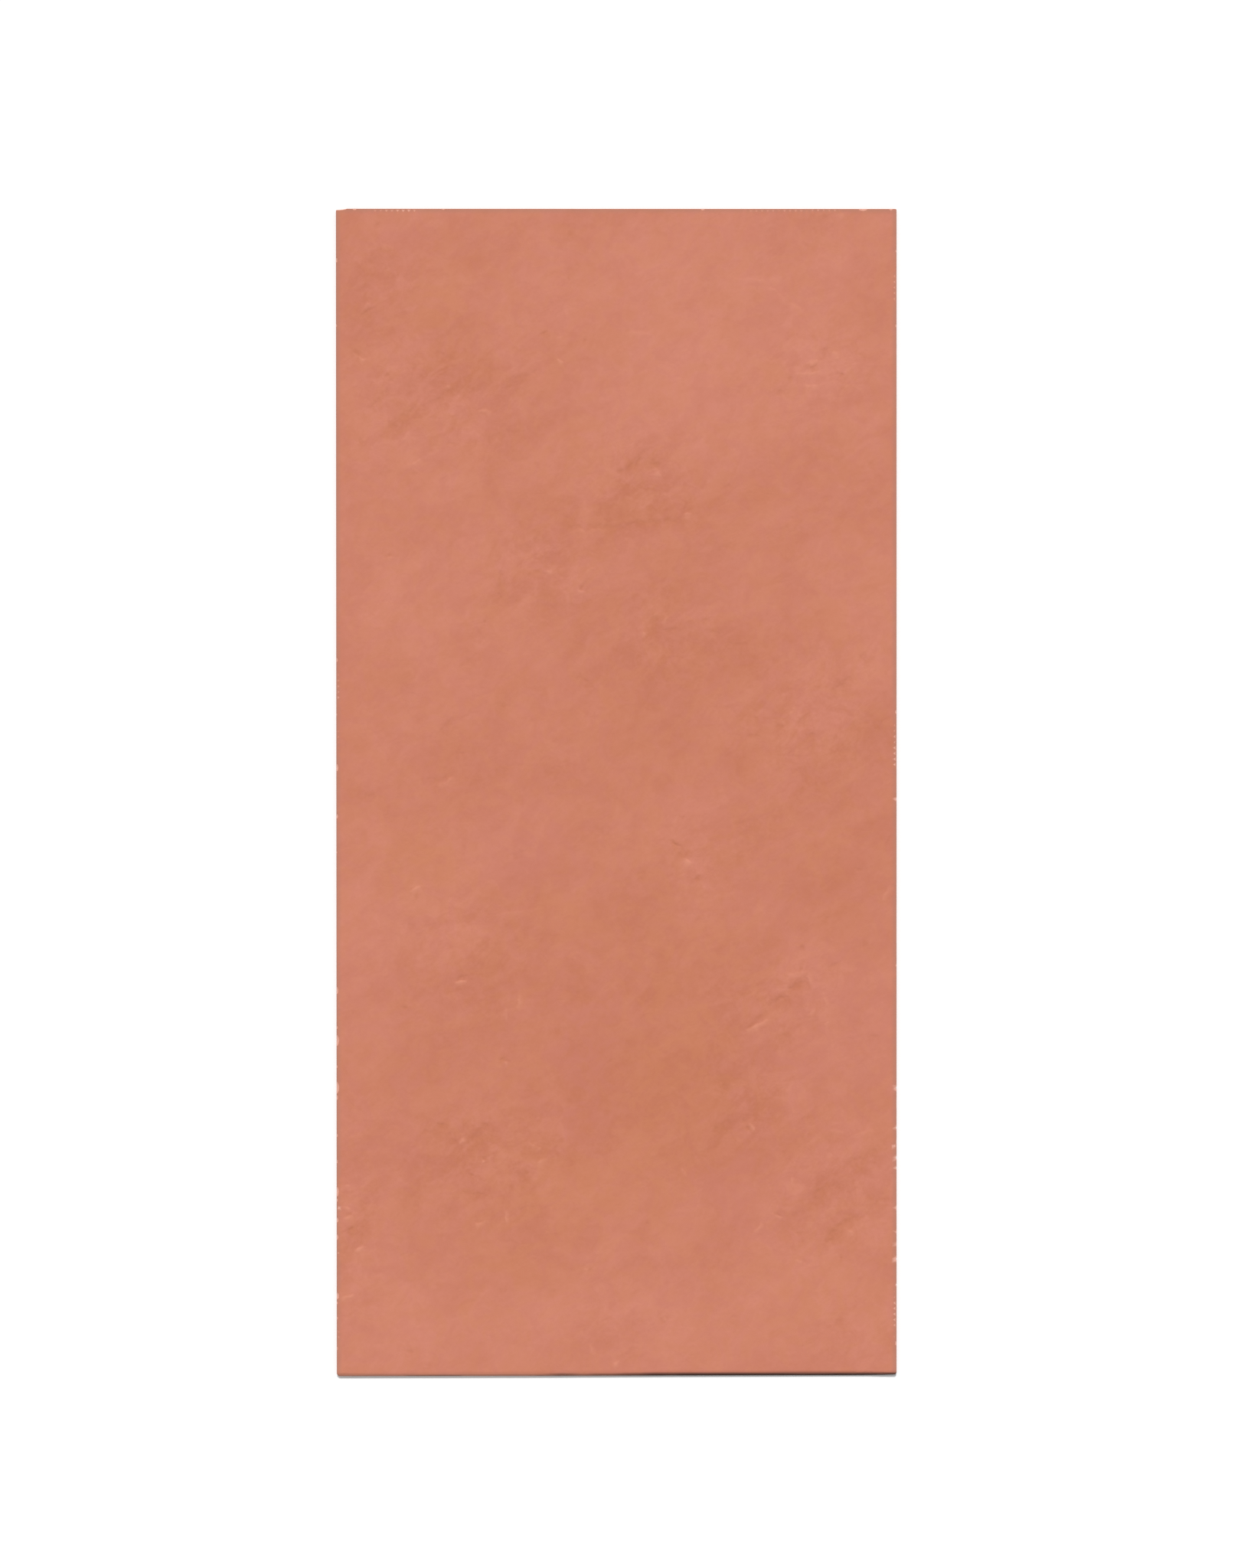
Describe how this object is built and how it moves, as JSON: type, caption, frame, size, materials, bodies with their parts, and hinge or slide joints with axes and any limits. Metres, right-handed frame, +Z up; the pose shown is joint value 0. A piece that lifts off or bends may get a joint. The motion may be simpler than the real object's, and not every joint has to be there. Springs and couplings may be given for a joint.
{
  "type": "sintered stone slab",
  "caption": "Large thin rectangular slab of fired clay-coloured sintered stone with a trowelled, slate-like face, worn edges and a flat back, lying face up.",
  "frame": {"origin": "middle of the flat back, which the slab rests on", "axes": "+Z up through the thickness and out of the textured face, +Y up the length of the slab, +X across its width"},
  "size_m": [1.2, 2.5, 0.012],
  "materials": {
    "fired_clay": "matte"
  },
  "bodies": {
    "root": {"slab": "fired_clay"}
  },
  "joints": []
}
